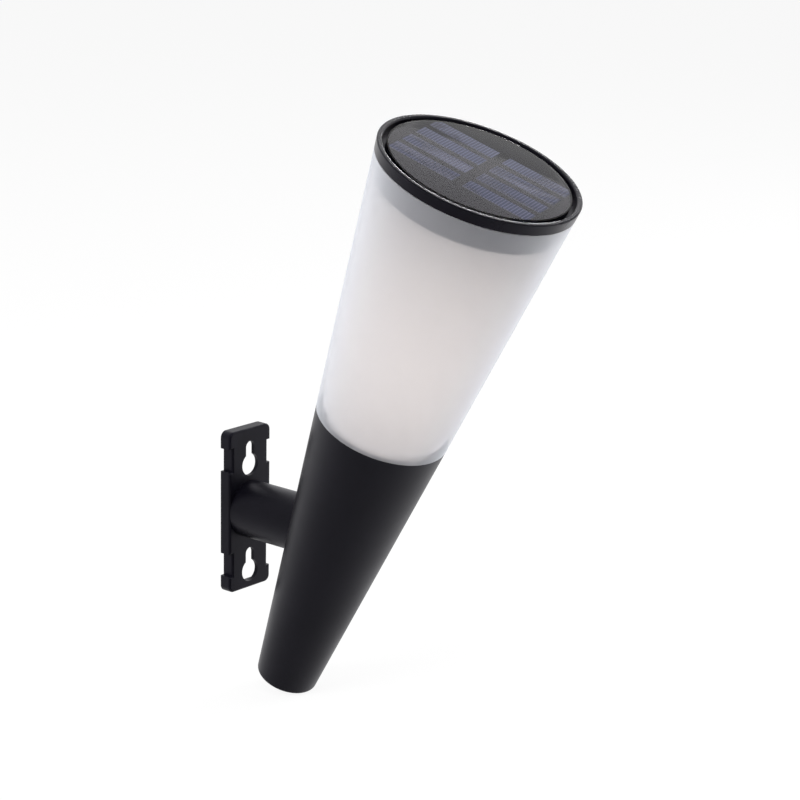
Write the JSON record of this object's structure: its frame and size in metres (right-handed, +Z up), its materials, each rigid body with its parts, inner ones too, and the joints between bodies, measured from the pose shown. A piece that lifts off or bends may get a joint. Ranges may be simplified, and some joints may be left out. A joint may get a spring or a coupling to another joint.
{
  "type": "solar fence light",
  "caption": "Tapered solar lamp with a frosted diffuser and twist-off solar head, leaning out from a small keyhole wall plate on a round arm.",
  "frame": {"origin": "centre of the wall plate's back face, on the wall", "axes": "+Y into the wall, +Z up, X along the wall"},
  "size_m": [0.07, 0.1379, 0.2127],
  "materials": {
    "satin_black": "satin injection-moulded black plastic",
    "plate_black": "satin black plastic, slightly rougher",
    "rim_black": "semi-gloss black plastic",
    "frosted_white": "frosted translucent white plastic",
    "clear_cover": "clear polycarbonate",
    "board_grey": "dark grey laminate",
    "cell_blue_grey": "silicon cell with fine grid lines",
    "inner_black": "moulded black plastic",
    "seal_rubber": "silicone rubber",
    "zinc_screw": "zinc plated steel",
    "circuit_green": "solder mask",
    "led_clear": "clear epoxy",
    "chip_black": "moulded epoxy",
    "choke_dark": "ferrite",
    "battery_sleeve": "printed sleeve, plain",
    "contact_steel": "nickel plated spring steel",
    "switch_metal": "tinned steel shell",
    "knob_black": "moulded plastic",
    "lead_red": "insulated lead",
    "lead_black": "insulated lead"
  },
  "bodies": {
    "lamp": {"wall_plate": "plate_black", "plate_screws": "zinc_screw", "bracket_arm": "satin_black", "arm_screws": "zinc_screw", "lower_body": "satin_black", "diffuser": "frosted_white"},
    "seal": {"head_seal": "seal_rubber"},
    "head": {"head_cap": "rim_black", "panel_cover": "clear_cover", "panel_board": "board_grey", "solar_cells": "cell_blue_grey", "head_base": "inner_black", "base_screws": "zinc_screw", "battery_cover": "inner_black", "cover_screws": "zinc_screw", "battery": "battery_sleeve", "battery_contact": "contact_steel", "battery_spring": "contact_steel", "circuit_board": "circuit_green", "led": "led_clear", "control_chip": "chip_black", "choke_coil": "choke_dark", "switch_body": "switch_metal", "panel_lead_red": "lead_red", "panel_lead_black": "lead_black", "battery_lead_red": "lead_red", "battery_lead_black": "lead_black"},
    "knob": {"switch_knob": "knob_black"}
  },
  "joints": [
    {"name": "head_lift", "type": "slide", "parent": "lamp", "child": "seal", "axis": [0, -0.3907, 0.9205], "range_m": [0, 0.07]},
    {"name": "head_twist", "type": "hinge", "parent": "seal", "child": "head", "pos_m": [0, -0.048, 0], "axis": [0, -0.3907, 0.9205], "range_deg": [-25, 0]},
    {"name": "switch_slide", "type": "slide", "parent": "head", "child": "knob", "axis": [1, 0, 0], "range_m": [0, 0.002]}
  ]
}
